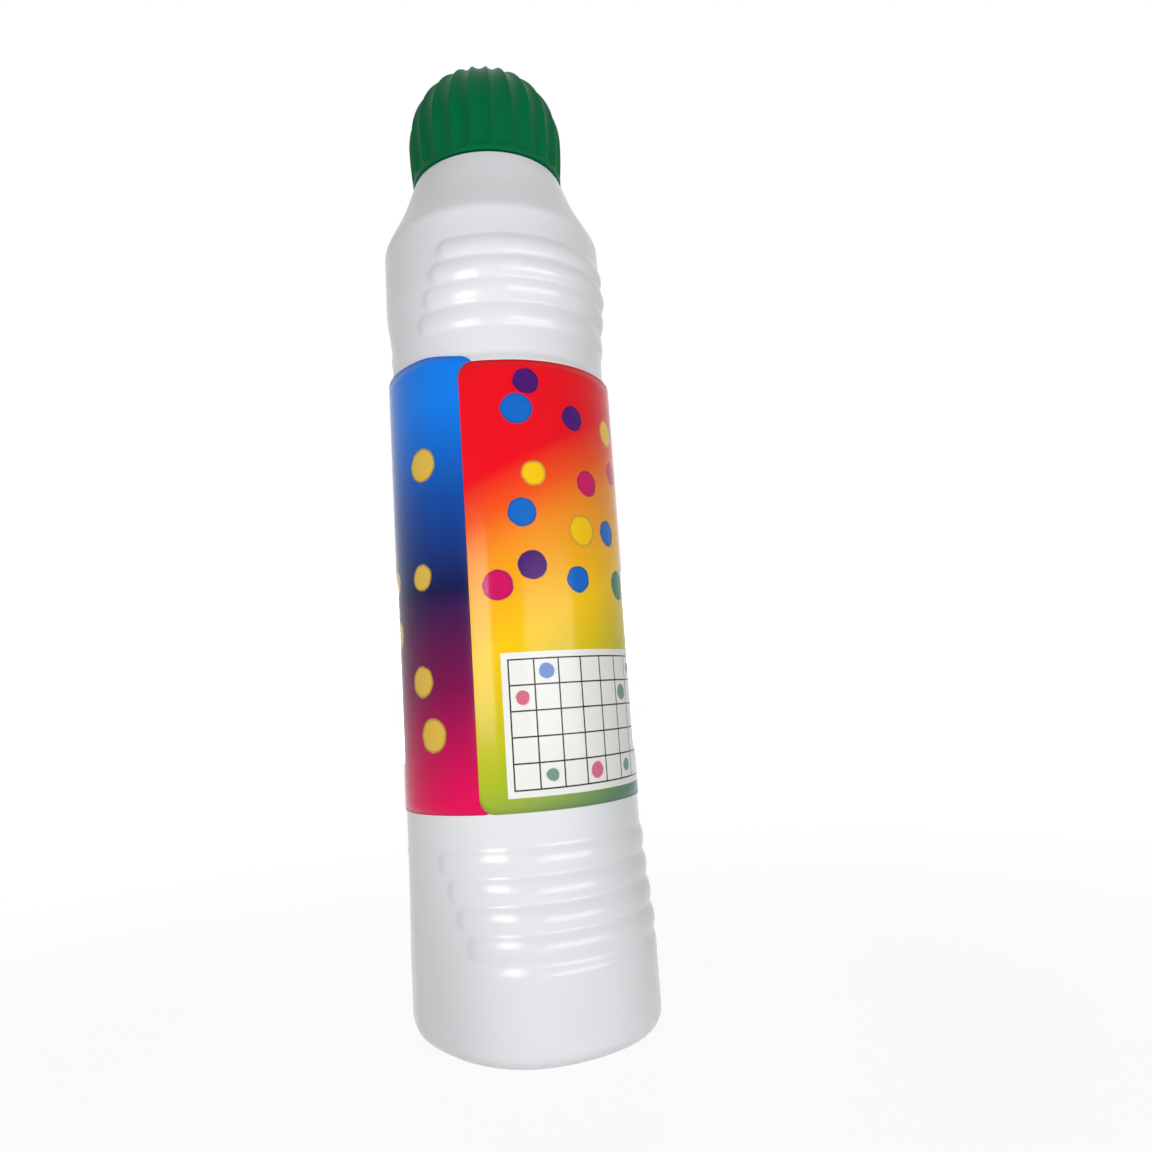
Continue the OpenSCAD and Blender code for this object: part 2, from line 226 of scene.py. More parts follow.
class BottleSizes(bpy.types.PropertyGroup):
    """Sizes and colour of the blown bottle."""

    wall: length("Wall radius", "Radius of the straight wall behind the label", BOTTLE_HIGH[0])
    thick: length("Wall thickness", "Thickness of the blown wall", 1.2 * MM)
    foot_round: length("Foot rounding", "Radius that rounds the edge of the foot", 2.5 * MM)
    hollow: length("Foot hollow", "Radius of the hollow under the foot", 9.0 * MM)
    hollow_depth: length("Foot hollow depth", "Depth of the hollow under the foot", 1.5 * MM)
    foot_rise: length("Foot swell", "How far the oval foot stands out at front and back", 2.5 * MM)
    foot_top: length("Foot height", "Height of the oval foot's upright part", 12.0 * MM)
    foot_slope: length("Foot slope", "Height over which the oval foot fades into the round wall", 16.0 * MM)
    edge_rise: length("Foot edge", "How far the step at the oval foot's upper edge stands out", 0.4 * MM)
    edge_height: length("Foot edge height", "Height of the step at the oval foot's upper edge", 12.6 * MM)
    edge_soft: length("Foot edge rounding", "Half the height over which the step rises", 0.9 * MM)
    crown_rise: length("Grip crown", "How far the upper grip stands out at front and back", 0.8 * MM)
    crown_low: length("Crown start", "Height at which the upper grip starts to stand out", 105.5 * MM)
    crown_high: length("Crown end", "Height at which the upper grip has faded out", 122.0 * MM)
    crown_fade: length("Crown fade", "Height over which the upper grip fades at either end", 7.5 * MM)
    waist: length("Waist", "How far the wall is drawn in just above the label", 0.6 * MM)
    roll_rise: length("Roll rise", "How far a grip roll stands out", 0.42 * MM)
    roll_half: length("Roll half width", "Half the height of a grip roll", 1.8 * MM)
    upper_roll: length("Upper rolls", "Height of the lowest roll above the label", 105.6 * MM)
    upper_pitch: length("Upper roll spacing", "Spacing of the rolls above the label", 3.45 * MM)
    lower_roll: length("Lower rolls", "Height of the highest roll under the label", 26.2 * MM)
    lower_pitch: length("Lower roll spacing", "Spacing of the rolls under the label", 3.6 * MM)
    roll_span: angle("Roll span", "Half the angle of the roll next to the label", 67.0)
    span_step: angle("Roll span step", "How much each further roll is shorter at either end", 5.2)
    shoulder: length("Shoulder height", "Height of the corner between wall and shoulder", 122.7 * MM)
    shoulder_round: length("Shoulder rounding", "Radius that rounds the shoulder's corner", 3.5 * MM)
    shoulder_dip: length("Shoulder dip", "How far the shoulder's slope is drawn in", 0.35 * MM)
    lip: length("Lip radius", "Radius of the shoulder's upper edge under the cap", 12.7 * MM)
    neck: length("Neck radius", "Radius of the neck at the root of its thread", 9.8 * MM)
    neck_bore: length("Neck bore", "Radius of the neck's bore", 8.0 * MM)
    neck_height: length("Neck height", "Height of the neck above the lip", 8.2 * MM)
    thread_pitch: length("Thread pitch", "Rise of the thread in one turn", 3.175 * MM)
    thread_depth: length("Thread depth", "How far the thread stands out", 1.05 * MM)
    plastic: colour("Bottle plastic", "Colour of the blown plastic", 232, 233, 236)


class LabelSizes(bpy.types.PropertyGroup):
    """Sizes of the wrap label and the colours of its print."""

    film: length("Film", "Thickness of the label's film", 0.15 * MM)
    lap: length("Lap", "Width over which the label's two ends overlap", 2.5 * MM)
    seam: angle("Seam", "Angle of the lap's free edge round the bottle, from the front", -43.0)
    corner: length("Corner", "Radius of the label's corners", 2.2 * MM)
    end_rise: length("End rise", "How much higher the upper edge is at its end than at its start", 2.1 * MM)
    end_drop: length("End drop", "How far the upper edge falls again towards the end's corner", 1.1 * MM)
    drop_width: length("End drop width", "Width over which the upper edge falls towards the end", 9.0 * MM)
    warm_top: colour("Warm top", "Upper colour of the warm half", 235, 1, 24)
    warm_glow: colour("Warm glow", "Colour under the warm half's top", 240, 84, 22)
    warm_amber: colour("Warm amber", "Colour above the warm half's middle", 243, 144, 30)
    warm_middle: colour("Warm middle", "Middle colour of the warm half", 246, 198, 10)
    warm_low: colour("Warm low", "Lower colour of the warm half", 168, 188, 34)
    warm_foot: colour("Warm foot", "Colour at the foot of the warm half", 4, 108, 116)
    cool_top: colour("Cool top", "Upper colour of the cool half", 0, 126, 238)
    cool_high: colour("Cool high", "Colour under the cool half's top", 2, 74, 164)
    cool_middle: colour("Cool middle", "Middle colour of the cool half", 6, 12, 76)
    cool_low: colour("Cool low", "Lower colour of the cool half", 126, 2, 76)
    cool_foot: colour("Cool foot", "Colour at the foot of the cool half", 234, 0, 88)
    card: colour("Card", "Colour of the plain game card", 236, 236, 232)
    card_line: colour("Card lines", "Colour of the game card's lines", 52, 52, 60)
    gold: colour("Gold", "Colour of the dabs on the cool half", 228, 188, 74)
    dab_blue: colour("Blue dab", "Colour of the blue dabs", 8, 104, 196)
    dab_violet: colour("Violet dab", "Colour of the violet dabs", 72, 10, 110)
    dab_green: colour("Green dab", "Colour of the green dabs", 8, 120, 92)
    dab_pink: colour("Pink dab", "Colour of the pink dabs", 206, 8, 96)


class CapSizes(bpy.types.PropertyGroup):
    """Sizes and colour of the fluted cap."""

    edge: length("Lower edge", "Radius of the cap's lower edge", 12.7 * MM)
    girth: length("Girth", "Largest radius of the cap", 13.15 * MM)
    girth_height: length("Girth height", "Height of the largest radius above the lower edge", 7.8 * MM)
    bore: length("Bore", "Radius of the cap's bore", SEAL_HIGH[0])
    ledge: length("Ledge", "Radius of the hole in the ledge behind the seal", 9.5 * MM)
    ledge_thick: length("Ledge thickness", "Thickness of the ledge behind the seal", 1.0 * MM)
    dome_wall: length("Dome wall", "Thickness of the dome", 1.5 * MM)
    flutes: number("Flutes", "Number of flutes round the cap", 24)
    flute_depth: length("Flute depth", "Depth of a flute between its ridges", 0.68 * MM)
    flute_turn: angle("Flute turn", "Angle of a ridge from the front", -3.5)
    rim: length("Rim", "Height of the plain rim under the flutes", 0.6 * MM)
    plastic: colour("Cap plastic", "Colour of the cap", 0, 107, 63)


class TipSizes(bpy.types.PropertyGroup):
    """Sizes of the foam tip, its cloth and its spring, and the colours inside the dauber."""

    side: length("Foam side", "Height of the foam's upright side", 1.1 * MM)
    cloth: length("Cloth", "Thickness of the cloth", 0.36 * MM)
    wire: length("Spring wire", "Diameter of the return spring's wire", 0.8 * MM)
    coils: number("Coils", "Number of turns of the return spring", 6)
    press: length("Press", "How far the tip presses in and shortens the spring", 2.0 * MM)
    thread: length("Cloth threads", "Spacing of the cloth's threads", 0.5 * MM)
    foam: colour("Foam", "Colour of the foam", 196, 222, 200)
    dyed: colour("Dyed cloth", "Colour of the cloth, stained by the ink", 34, 140, 88)
    fitment: colour("Fitments", "Colour of the plastic pieces inside", 236, 236, 230)
    ink: colour("Ink", "Colour of the ink", 0, 96, 58)
    seal: colour("Seal", "Colour of the cap's soft seal", 232, 230, 222)
    steel_dark: colour("Dark steel", "Colour of the darker streaks of the spring's wire", 150, 152, 158)
    steel_pale: colour("Pale steel", "Colour of the paler streaks of the spring's wire", 206, 208, 214)


class StageSizes(bpy.types.PropertyGroup):
    """Camera, lamps and floor."""

    camera_distance: length("Camera distance", "Distance of the camera from the bottle's axis", 140.5 * MM)
    camera_height: length("Camera height", "Height of the camera above the table", 47.93 * MM)
    camera_side: angle("Camera side", "Angle of the camera round the bottle, from the front", -24.0)
    camera_turn: angle("Camera turn", "How far the camera looks to the right of +Y", 28.387)
    camera_tilt: angle("Camera tilt", "How far the camera looks up", 7.94)
    camera_roll: angle("Camera roll", "How far the camera leans", -3.928)
    lens: bpy.props.FloatProperty(
        name="Lens", description="Focal length of the camera", default=27.06, unit="CAMERA"
    )
    key_side: angle("Key side", "Angle of the key lamp round the bottle, from the front", -52.0)
    key_distance: length("Key distance", "Distance of the key lamp from the bottle's axis", 0.17)
    key_height: length("Key height", "Height of the key lamp", 0.068)
    key_size: length("Key size", "Width of the key lamp", 0.06)
    key_power: power("Key power", "Power of the key lamp in watts", 0.138)
    wide_side: angle("Wide lamp side", "Angle of the wide lamp round the bottle, from the front", 12.0)
    wide_distance: length("Wide lamp distance", "Distance of the wide and back lamps from the axis", 0.5)
    wide_height: length("Wide lamp height", "Height of the wide and back lamps", 0.075)
    wide_size: length("Wide lamp size", "Width of the wide and back lamps", 0.46)
    wide_tall: length("Wide lamp tallness", "Height of the faces of the wide and back lamps", 0.13)
    wide_power: power("Wide lamp power", "Power of the wide lamp in watts", 1.24)
    back_side: angle("Back lamp side", "Angle of the back lamp round the bottle, from the front", 156.0)
    back_power: power("Back lamp power", "Power of the back lamp in watts", 1.3)
    fill: bpy.props.FloatProperty(
        name="Fill", description="Strength of the even light from all round", default=0.07, subtype="FACTOR"
    )
    floor_reach: length("Floor", "Half the width of the floor", 4.0)


def smooth(low, high, x):
    """Smooth step from 0 at low to 1 at high, by 3t^2 - 2t^3."""
    t = np.clip((x - low) / (high - low), 0.0, 1.0)
    return t * t * (3.0 - 2.0 * t)


def line(start, end, count):
    """Profile points of a straight line from start up to, but not at, end."""
    t = np.linspace(0.0, 1.0, count, endpoint=False)[:, None]
    return np.array(start) + (np.array(end) - np.array(start)) * t


def arc(centre, radius, first, last, count):
    """Profile points of an arc about centre, from the angle first up to, but not at, last, in degrees."""
    a = np.radians(np.linspace(first, last, count, endpoint=False))
    return np.array(centre) + radius * np.stack([np.cos(a), np.sin(a)], axis=-1)


def round_turn(columns):
    """Angles of the columns of a ring, once round."""
    return np.linspace(0.0, FULL_TURN, columns, endpoint=False)[None, :]


def turned(radius, height, turn):
    """Points (r sin a, -r cos a, z) for the angle a from the front; rings run anticlockwise from above."""
    return np.stack([radius * np.sin(turn), -radius * np.cos(turn), height + 0.0 * turn], axis=-1)


def ring_skin(name, points):
    """Closed mesh of rings from one pole to the other: quads between the rings and a fan at each pole."""
    rows, columns = points.shape[:2]
    vertices = np.concatenate([points[0, :1], points[1:-1].reshape(-1, 3), points[-1, :1]])
    here = 1 + np.arange((rows - 2) * columns).reshape(rows - 2, columns)
    there = np.roll(here, -1, axis=1)
    quads = np.stack([here[:-1], there[:-1], there[1:], here[1:]], axis=-1).reshape(-1, 4)
    first = np.stack([np.zeros(columns, int), there[0], here[0]], axis=-1)
    last = np.stack([np.full(columns, len(vertices) - 1), here[-1], there[-1]], axis=-1)
    mesh = bpy.data.meshes.new(name)
    mesh.from_pydata(vertices.tolist(), [], first.tolist() + quads.tolist() + last.tolist())
    return mesh


def open_skin(name, points):
    """Open mesh of a grid of points, columns along the first parameter and rows along the second."""
    columns, rows = points.shape[:2]
    index = np.arange(columns * rows).reshape(columns, rows)
    quads = np.stack([index[:-1, :-1], index[1:, :-1], index[1:, 1:], index[:-1, 1:]], axis=-1)
    mesh = bpy.data.meshes.new(name)
    mesh.from_pydata(points.reshape(-1, 3).tolist(), [], quads.reshape(-1, 4).tolist())
    return mesh


def put_map(mesh, name, flat):
    """UV map whose corner values are the flat coordinates of the vertices."""
    corners = np.empty(len(mesh.loops), dtype=np.int32)
    mesh.loops.foreach_get("vertex_index", corners)
    mesh.uv_layers.new(name=name).data.foreach_set("uv", flat[corners].astype(np.float32).ravel())


def put_piece(name, mesh, finish, body, node):
    """Object at the origin with smooth faces, which rides on a body and stands for a CAD node."""
    mesh.shade_smooth()
    mesh.materials.append(finish.material)
    piece = bpy.data.objects.new(name, mesh)
    bpy.context.scene.collection.objects.link(piece)
    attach(piece, body)
    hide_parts(node)
    return piece


def thread_rise(turn, height, first, start, pitch):
    """Right-hand thread from 0 to 1: a ridge with sloped sides along z = start + pitch a / 2pi.

    The angle a is counted from the angle first, and the ridge fades at both ends.
    """
    total = THREAD_TURNS * FULL_TURN
    rise = np.zeros(np.broadcast(turn, height).shape)
    for lap in range(math.ceil(THREAD_TURNS)):
        along = (turn - first) % FULL_TURN + lap * FULL_TURN
        off = np.abs(height - start - pitch * along / FULL_TURN)
        ridge = 1.0 - smooth(THREAD_CREST / 2.0, THREAD_ROOT / 2.0, off)
        ends = smooth(0.0, THREAD_FADE, along) * (1.0 - smooth(total - THREAD_FADE, total, along))
        rise = np.maximum(rise, ridge * ends)
    return rise


def from_grip(turn):
    """Angle from the nearest grip: 0 at the front and the back, and a quarter turn at the smooth spines."""
    return np.abs((turn + math.pi / 2.0) % math.pi - math.pi / 2.0)


def grip_relief(sizes, turn, height):
    """How far the skin stands out from the plain bottle.

    The oval foot, the step at its upper edge and the upper grip's crown fade with the angle from the grip,
    and the waist draws the wall in above the label. A roll is a capsule that rises by 1 - d^2 with a soft
    zero, where d is the distance from its middle line in half widths, and that line ends half a width before
    the roll does.
    """
    off = from_grip(turn)
    swell = 1.0 - smooth(SWELL_FULL, SWELL_NONE, off)
    foot = 1.0 - smooth(sizes.foot_top, sizes.foot_top + sizes.foot_slope, height)
    step = 1.0 - smooth(sizes.edge_height - sizes.edge_soft, sizes.edge_height + sizes.edge_soft, height)
    crown_start = smooth(sizes.crown_low, sizes.crown_low + sizes.crown_fade, height)
    crown_end = 1.0 - smooth(sizes.crown_high - sizes.crown_fade, sizes.crown_high, height)
    crown = sizes.crown_rise * crown_start * crown_end
    above = smooth(LABEL_HIGH[2], LABEL_HIGH[2] + sizes.roll_half, height)
    relief = swell * (sizes.foot_rise * foot + sizes.edge_rise * step + crown)
    relief = relief - sizes.waist * above * (1.0 - crown_start)
    upper = [(sizes.upper_roll + i * sizes.upper_pitch, i) for i in range(ROLLS)]
    lower = [(sizes.lower_roll - i * sizes.lower_pitch, i) for i in range(ROLLS)]
    for middle, from_label in upper + lower:
        span = sizes.roll_span - from_label * sizes.span_step
        past_end = np.clip(off - (span - sizes.roll_half / sizes.wall), 0.0, None) * sizes.wall
        bow = 1.0 - (past_end ** 2 + (height - middle) ** 2) / sizes.roll_half ** 2
        bow = (bow + np.sqrt(bow ** 2 + ROLL_SOFT ** 2)) / 2.0
        relief = relief + sizes.roll_rise * bow
    return relief


def bottle_points(sizes):
    """Rings of the bottle from the middle of its foot, up outside, over the rim and down to its inner floor.

    The profile is a chain of lines and arcs, each with its number of rings last. The grip's relief is added
    to the outside, a dip of sin^2 to the shoulder, and the thread to the neck.
    """
    wall = sizes.wall
    foot = sizes.foot_round
    edge = BOTTLE_EDGE
    rim_z = BOTTLE_HIGH[2]
    lip_z = rim_z - sizes.neck_height
    slope = math.atan2(wall - sizes.lip, lip_z - sizes.shoulder)
    bend = sizes.shoulder_round
    bend_r = wall - bend
    bend_z = sizes.shoulder - bend * math.tan(slope / 2.0)
    bend_end = (bend_r + bend * math.cos(slope), bend_z + bend * math.sin(slope))
    ledge_r = sizes.neck + edge
    inner = wall - sizes.thick
    inner_round = foot - sizes.thick
    hollow_r = sizes.hollow - sizes.hollow_depth
    floor_z = sizes.hollow_depth + sizes.thick
    roof_z = lip_z - sizes.thick
    outside = [
        line((0.0, sizes.hollow_depth), (hollow_r, sizes.hollow_depth), 3),
        line((hollow_r, sizes.hollow_depth), (sizes.hollow, 0.0), 4),
        line((sizes.hollow, 0.0), (wall - foot, 0.0), 8),
        arc((wall - foot, foot), foot, -90.0, 0.0, 12),
        line((wall, foot), (wall, LABEL_LOW[2]), 112),
        line((wall, LABEL_LOW[2]), (wall, LABEL_HIGH[2]), 8),
        line((wall, LABEL_HIGH[2]), (wall, bend_z), 92),
        arc((bend_r, bend_z), bend, 0.0, math.degrees(slope), 10),
        line(bend_end, (sizes.lip, lip_z - edge), 26),
        arc((sizes.lip - edge, lip_z - edge), edge, math.degrees(slope), 90.0, 5),
    ]
    neck = [
        line((sizes.lip - edge, lip_z), (ledge_r, lip_z), 4),
        arc((ledge_r, lip_z + edge), -edge, 90.0, 0.0, 4),
        line((sizes.neck, lip_z + edge), (sizes.neck, rim_z - edge), 46),
        arc((sizes.neck - edge, rim_z - edge), edge, 0.0, 90.0, 4),
        line((sizes.neck - edge, rim_z), (sizes.neck_bore, rim_z), 3),
    ]
    inside = [
        line((sizes.neck_bore, rim_z), (sizes.neck_bore, roof_z), 4),
        line((sizes.neck_bore, roof_z), (sizes.lip - sizes.thick, roof_z), 3),
        line((sizes.lip - sizes.thick, roof_z), (inner, bend_z), 6),
        line((inner, bend_z), (inner, foot), 6),
        arc((inner - inner_round, foot), inner_round, 0.0, -90.0, 6),
        line((inner - inner_round, sizes.thick), (0.0, floor_z), 3),
        np.array([[0.0, floor_z]]),
    ]
    profile = np.concatenate(outside + neck + inside)
    on_skin = (np.arange(len(profile)) < sum(len(part) for part in outside))[:, None]
    radius, height = profile[:, :1], profile[:, 1:]
    turn = round_turn(BOTTLE_COLUMNS)
    spread = smooth(sizes.hollow, wall - foot, radius)
    along = np.clip((height - sizes.shoulder) / (lip_z - sizes.shoulder), 0.0, 1.0)
    dip = sizes.shoulder_dip * np.sin(math.pi * along) ** 2
    relief = np.where(on_skin, spread * grip_relief(sizes, turn, height) - dip, 0.0)
    on_neck = (np.abs(radius - sizes.neck) < ON_RADIUS) & (height > lip_z)
    rise = thread_rise(turn, height, NECK_START, lip_z + THREAD_START, sizes.thread_pitch)
    relief = relief + np.where(on_neck, sizes.thread_depth * rise, 0.0)
    return turned(radius + relief, height, turn)


class Finish:
    """Node tree of one material, with short names for the nodes that the finishes share."""

    def __init__(self, name):
        self.material = bpy.data.materials.new(name)
        self.material.use_nodes = True
        self.tree = self.material.node_tree
        self.shader = self.tree.nodes["Principled BSDF"]

    def node(self, kind, **settings):
        """New node with its settings."""
        added = self.tree.nodes.new(kind)
        for key, value in settings.items():
            setattr(added, key, value)
        return added

    def join(self, source, socket):
        """Link an output to a socket, or set the socket where source is a plain value."""
        if isinstance(source, bpy.types.NodeSocket):
            self.tree.links.new(source, socket)
        elif socket.type == "RGBA":
            socket.default_value = (*tuple(source), 1.0)
        else:
            socket.default_value = source

    def place(self):
        """The piece's own coordinates, in metres."""
        return self.node("ShaderNodeTexCoord").outputs["Object"]

    def parts(self, vector):
        """The three values of a vector."""
        node = self.node("ShaderNodeSeparateXYZ")
        self.join(vector, node.inputs[0])
        return node.outputs

    def sum(self, operation, first, second=0.0):
        """One arithmetic node."""
        node = self.node("ShaderNodeMath", operation=operation)
        self.join(first, node.inputs[0])
        self.join(second, node.inputs[1])
        return node.outputs[0]

    def between(self, value, low, high, start=0.0, end=1.0):
        """Smooth change from start to end while value goes from low to high."""
        node = self.node("ShaderNodeMapRange", interpolation_type="SMOOTHSTEP")
        for socket, source in zip(node.inputs, (value, low, high, start, end)):
            self.join(source, socket)
        return node.outputs[0]

    def within(self, value, low, high):
        """1 where value lies between low and high, and 0 elsewhere."""
        over = self.sum("GREATER_THAN", value, low)
        return self.sum("MULTIPLY", over, self.sum("LESS_THAN", value, high))

    def mix(self, share, first, second):
        """Colour between first and second by share."""
        node = self.node("ShaderNodeMix", data_type="RGBA")
        self.join(share, node.inputs[0])
        self.join(first, node.inputs[6])
        self.join(second, node.inputs[7])
        return node.outputs[2]

    def ramp(self, value, stops, interpolation="LINEAR"):
        """Colour ramp with stops of place and colour."""
        node = self.node("ShaderNodeValToRGB")
        node.color_ramp.interpolation = interpolation
        while len(node.color_ramp.elements) < len(stops):
            node.color_ramp.elements.new(0.5)
        for element, (place, shade) in zip(node.color_ramp.elements, stops):
            element.position = place
            element.color = (*shade, 1.0)
        self.join(value, node.inputs[0])
        return node.outputs[0]

    def noise(self, vector, scale, detail=2.0):
        """Cloudy noise from 0 to 1."""
        node = self.node("ShaderNodeTexNoise")
        self.join(vector, node.inputs["Vector"])
        node.inputs["Scale"].default_value = scale
        node.inputs["Detail"].default_value = detail
        return node.outputs[0]

    def cells(self, vector, scale, scatter):
        """Scattered cells: distance from the middle in cells, three random values and the middle's place."""
        node = self.node("ShaderNodeTexVoronoi", voronoi_dimensions="2D")
        self.join(vector, node.inputs["Vector"])
        node.inputs["Scale"].default_value = scale
        node.inputs["Randomness"].default_value = scatter
        chance = self.node("ShaderNodeSeparateColor")
        self.join(node.outputs["Color"], chance.inputs[0])
        return node.outputs["Distance"], chance.outputs, self.parts(node.outputs["Position"])

    def bump(self, height, strength, distance):
        """Small relief of the surface from a height."""
        node = self.node("ShaderNodeBump")
        node.inputs["Strength"].default_value = strength
        node.inputs["Distance"].default_value = distance
        self.join(height, node.inputs["Height"])
        self.join(node.outputs[0], self.shader.inputs["Normal"])

    def gloss(self, noise, low, high):
        """Roughness that goes from low to high with a noise."""
        self.set(Roughness=self.between(noise, NOISE_LOW, NOISE_HIGH, low, high))

    def set(self, **values):
        """Set or link sockets of the shader by name, with _ for a space."""
        for key, value in values.items():
            self.join(value, self.shader.inputs[key.replace("_", " ")])


def darker(shade, share):
    """A colour brought down to a share of itself."""
    return tuple(share * c for c in shade)


def moulded_plastic(name, shade, low, high, cloud, peel):
    """Moulded plastic: faint clouds of colour, uneven gloss between low and high, and a fine orange peel."""
    finish = Finish(name)
    place = finish.place()
    clouds = finish.noise(place, cloud, detail=3.0)
    finish.set(Base_Color=finish.mix(clouds, darker(shade, CLOUD_SHARE), shade))
    finish.gloss(finish.noise(place, GLOSS_FINER * cloud, detail=4.0), low, high)
    finish.bump(finish.noise(place, peel), PEEL_STRENGTH, PEEL_DEPTH)
    return finish


def label_points(sizes):
    """Wrap of the label: s runs round the bottle from the free edge, and z from the lower to the upper edge.

    r drops by a film after the lap, the corners are quarter circles, and the upper edge rises by a smooth
    step towards the label's end and drops by another at its corner.
    """
    inner = LABEL_HIGH[0] - sizes.film
    middle_r = inner + sizes.film / 2.0
    total = FULL_TURN * middle_r + sizes.lap
    ends = np.linspace(0.0, 1.0, CORNER_COLUMNS, endpoint=False) ** 2
    middle = np.linspace(sizes.corner, total - sizes.corner, LABEL_COLUMNS)
    s = np.concatenate([sizes.corner * ends, middle, total - sizes.corner * ends[::-1]])[:, None]
    near_end = np.clip(sizes.corner - np.minimum(s, total - s), 0.0, sizes.corner)
    inset = sizes.corner - np.sqrt(np.clip(sizes.corner ** 2 - near_end ** 2, 0.0, None))
    low = LABEL_LOW[2] + inset
    high = LABEL_HIGH[2] - inset + sizes.end_rise * smooth(RISE_START * total, RISE_END * total, s)
    high = high - sizes.end_drop * smooth(total - sizes.drop_width, total, s)
    v = np.linspace(0.0, 1.0, LABEL_ROWS)[None, :]
    z = low + (high - low) * v
    radius = inner + sizes.film * (2.0 - smooth(sizes.lap, STEP_LAPS * sizes.lap, s))
    points = turned(radius, z, sizes.seam + s / middle_r + 0.0 * v)
    flat = np.stack([s + 0.0 * z, z - LABEL_LOW[2]], axis=-1) * CM_IN_METRE
    return points, flat.reshape(-1, 2), total


def round_dabs(finish, flat, cells, scatter, radius, ragged):
    """Dabs of ink in scattered cells: share of the dab and of its rim, the cells' chances and middles."""
    away, chance, middle = finish.cells(flat, cells, scatter)
    edge = finish.sum("DIVIDE", away, cells)
    edge = finish.sum("ADD", edge, finish.sum("MULTIPLY", ragged, DAB_RAGGED))
    edge = finish.sum("ADD", edge, finish.sum("MULTIPLY", chance[2], DAB_SPREAD))
    inside = finish.between(edge, radius - DAB_SOFT, radius + DAB_SOFT, 1.0, 0.0)
    rim = finish.between(edge, radius - DAB_RIM, radius)
    return inside, rim, chance, middle


def in_field(finish, u, v, left, right, low, high):
    """1 inside an upright rectangle of the label, and 0 outside."""
    return finish.sum("MULTIPLY", finish.within(u, left, right), finish.within(v, low, high))


def warm_blend(finish, sizes, u, up, half):
    """Red over amber and yellow to green, lower down its blend the further from the half's two ends."""
    inward = finish.sum("PINGPONG", u, 0.5 * half)
    share = finish.sum("SUBTRACT", up, finish.sum("MULTIPLY", inward, WARM_LEAN))
    stops = [
        (-0.22, sizes.warm_foot), (0.04, sizes.warm_low), (0.32, sizes.warm_middle),
        (0.53, sizes.warm_amber), (0.62, sizes.warm_glow), (0.71, sizes.warm_top),
    ]
    spread = 1.0 - WARM_LOWEST
    share = finish.sum("DIVIDE", finish.sum("SUBTRACT", share, WARM_LOWEST), spread)
    return finish.ramp(share, [((place - WARM_LOWEST) / spread, shade) for place, shade in stops])


def cool_blend(finish, sizes, up):
    """Blue over navy and purple to pink."""
    return finish.ramp(up, [
        (0.02, sizes.cool_foot), (0.27, sizes.cool_low), (0.49, sizes.cool_middle),
        (0.70, sizes.cool_high), (0.92, sizes.cool_top),
    ])


def warm_dabs(finish, sizes, flat, half, tall, ragged, ground):
    """Dabs of several inks on the upper part of the warm half, with darker rims, on the ground colour."""
    dab, rim, chance, middle = round_dabs(finish, flat, WARM_CELLS, WARM_SCATTER, WARM_RADIUS, ragged)
    ink = finish.ramp(chance[0], [
        (0.0, sizes.dab_blue), (0.3, sizes.dab_violet), (0.52, sizes.warm_middle),
        (0.7, sizes.dab_green), (0.88, sizes.dab_pink),
    ], "CONSTANT")
    ink = finish.mix(finish.sum("MULTIPLY", rim, WARM_RIM), ink, sizes.cool_middle)
    clear = in_field(
        finish, middle[0], middle[1],
        DAB_CLEAR, half - DAB_CLEAR, WARM_DABS_FROM * tall, tall - DAB_CLEAR,
    )
    return finish.mix(finish.sum("MULTIPLY", dab, clear), ground, ink)


def gold_dabs(finish, sizes, flat, half, tall, ragged, ground):
    """Gold dabs in some of the cool half's cells, with darker rims, on the ground colour."""
    dab, rim, chance, middle = round_dabs(finish, flat, COOL_CELLS, COOL_SCATTER, COOL_RADIUS, ragged)
    ink = finish.mix(finish.sum("MULTIPLY", rim, GOLD_RIM), sizes.gold, darker(sizes.gold, GOLD_LEFT))
    picked = finish.sum("MULTIPLY", dab, finish.sum("GREATER_THAN", chance[1], COOL_CHANCE))
    right = 2.0 * half - sizes.lap * CM_IN_METRE - DAB_CLEAR
    clear = in_field(finish, middle[0], middle[1], half + DAB_CLEAR, right, DAB_CLEAR, tall - DAB_CLEAR)
    return finish.mix(finish.sum("MULTIPLY", picked, clear), ground, ink)


